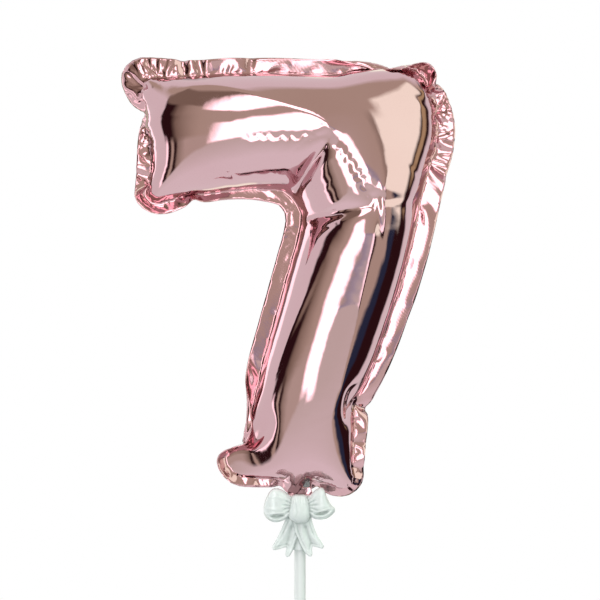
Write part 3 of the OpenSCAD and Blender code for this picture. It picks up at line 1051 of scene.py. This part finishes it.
def ribbon_end(name, outline, back, thickness, ridges, valleys):
    """A flat notched end with a raised rim, rounded ridges and valleys along it."""
    obj = solid(name, slab(outline, back - thickness, back))
    remesh(obj, 3)

    def shape(x, z):
        edge = distance(np.c_[x, z], outline)
        raised = np.exp(-((edge - 0.38) / 0.22) ** 2)
        groove = np.exp(-((edge - 0.95) / 0.25) ** 2)
        out = (EDGE_HEIGHT * groove - EDGE_HEIGHT * raised) * step(-z, 2.5, 4.0)
        for line in ridges:
            out = out - RIDGE_HEIGHT * near(x, z, line, 0.85)
        for line in valleys:
            out = out + VALLEY_DEPTH * near(x, z, line, 0.7)
        return out

    sculpt(obj, shape)
    return obj


def grip():
    """Slot for the tail and socket for the stick, behind the knot."""
    obj = solid("grip", box((-5.2, -2.7, -2.0), (5.2, 1.9, 4.6)))
    cuts = [("UNION", tube(2.7, -12.4, -0.3)), ("DIFFERENCE", tube(1.6, -14, -0.4)),
            ("DIFFERENCE", box((-4.2, -0.42, 0.0), (4.2, 0.42, 8.0)))]
    for k, (operation, shape) in enumerate(cuts):
        other = solid(f"cut{k}", shape)
        apply(obj, "BOOLEAN", operation=operation, object=other, solver="EXACT")
        bpy.data.objects.remove(other)
    return obj


def make_bow():
    parts = [
        left_loop(), right_loop(), knot(), grip(),
        ribbon_end("left_end", LEFT_END, -1.75, 1.35, [[(-2.6, -2), (-4.6, -7), (-7.9, -11.5)],
                                                      [(-1.2, -2), (-2.2, -8), (-3.7, -13.6)]],
                   [[(-2.6, -5), (-3.6, -9), (-4.3, -11.4)]]),
        ribbon_end("right_end", RIGHT_END, -2.6, 1.4, [[(0.2, -2), (0.8, -8), (2.9, -13.4)],
                                                     [(1.8, -2), (3.2, -7), (6.6, -11.0)]],
                   [[(1.9, -5), (2.9, -8), (3.8, -11.2)]]),
    ]
    verts, faces = [], []
    for part in parts:
        at = sum(len(v) for v in verts)
        verts.append(read(part.data.vertices, "co", 3) / MM)
        faces += [tuple(at + i for i in p.vertices) for p in part.data.polygons]
        bpy.data.objects.remove(part)
    whole = np.vstack(verts)
    whole[:, 2] += SLOT_FLOOR
    bow = make_object("bow_moulding", whole, faces)
    remesh(bow, 2)
    # Mask for the shade painted into the bow's creases.
    mark_painted_shade(bow.data)
    return bow


def make_tail():
    """The flat tail between the neck and the slot."""
    low, high, half, thick = 150.5, 157.4, 3.9, 0.2
    nx, nz = 24, 28
    xs, zs = np.linspace(-half, half, nx + 1), np.linspace(low, high, nz + 1)
    # It narrows a little and opens into the neck above the slot.
    verts = []
    for sign in (-1, 1):
        for z in zs:
            for x in xs:
                puff = 0.5 * step(z, 155.4, 157.4) * max(0.0, 1 - (x / 2.2) ** 2)
                ripple = 0.05 * math.sin(9 * x + 3 * z) * step(z, 155.0, 156.0)
                across = x * (1 - 0.1 * step(z, 155.2, 157.4))
                verts.append((across, sign * (thick + puff) + ripple, z))
    w, size = nx + 1, (nx + 1) * (nz + 1)
    faces = []
    for r in range(nz):
        for c in range(nx):
            a, b, d, e = r * w + c, r * w + c + 1, (r + 1) * w + c + 1, (r + 1) * w + c
            faces += [(a, b, d, e), (e + size, d + size, b + size, a + size)]
    loop = ([c for c in range(nx)] + [r * w + nx for r in range(nz)]
            + [nz * w + c for c in range(nx, 0, -1)] + [r * w for r in range(nz, 0, -1)])
    for k, a in enumerate(loop):
        b = loop[(k + 1) % len(loop)]
        faces.append((b, a, a + size, b + size))
    return make_object("foil_tail", verts, faces)


make_camera()
make_world()
make_floor()

ROSE = (0.60, 0.36, 0.40)
rose = foil_material("foil_rose", ROSE)
rose_back = foil_material("foil_rose_back", ROSE)

envelope, points = inflate()
points = place(envelope, points)
points = crease(envelope, points)
front = film_shell("foil_front", envelope, points, envelope.front, -1)
back = film_shell("foil_back", envelope, points, envelope.back, 1)
front.data.materials.append(rose)
back.data.materials.append(rose_back)
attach(front, "balloon")
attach(back, "balloon")
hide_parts("front_film")
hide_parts("back_film")

tail = make_tail()
tail.data.materials.append(rose)
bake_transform(tail)
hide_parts("front_tail", "back_tail")

bow = make_bow()
moulding = plastic_material("white_moulding", (0.86, 0.90, 0.89), (0.78, 0.85, 0.83))
bow.data.materials.append(moulding)
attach(bow, "bow")
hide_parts("bow")


def dress(node, mat):
    """Gives a CAD node its material."""
    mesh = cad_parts[node].data
    if not mesh.materials:
        mesh.materials.append(mat)
    for k in range(len(mesh.materials)):
        mesh.materials[k] = mat


dress("stick", plastic_material("white_tube", (0.90, 0.93, 0.92), (0.85, 0.89, 0.88),
                                scale=300.0, stretch=(1, 1, 0.06), roughness=0.28))
clear = film_material("valve_film")
dress("valve_front_film", clear)
dress("valve_back_film", clear)

bpy.context.view_layer.update()
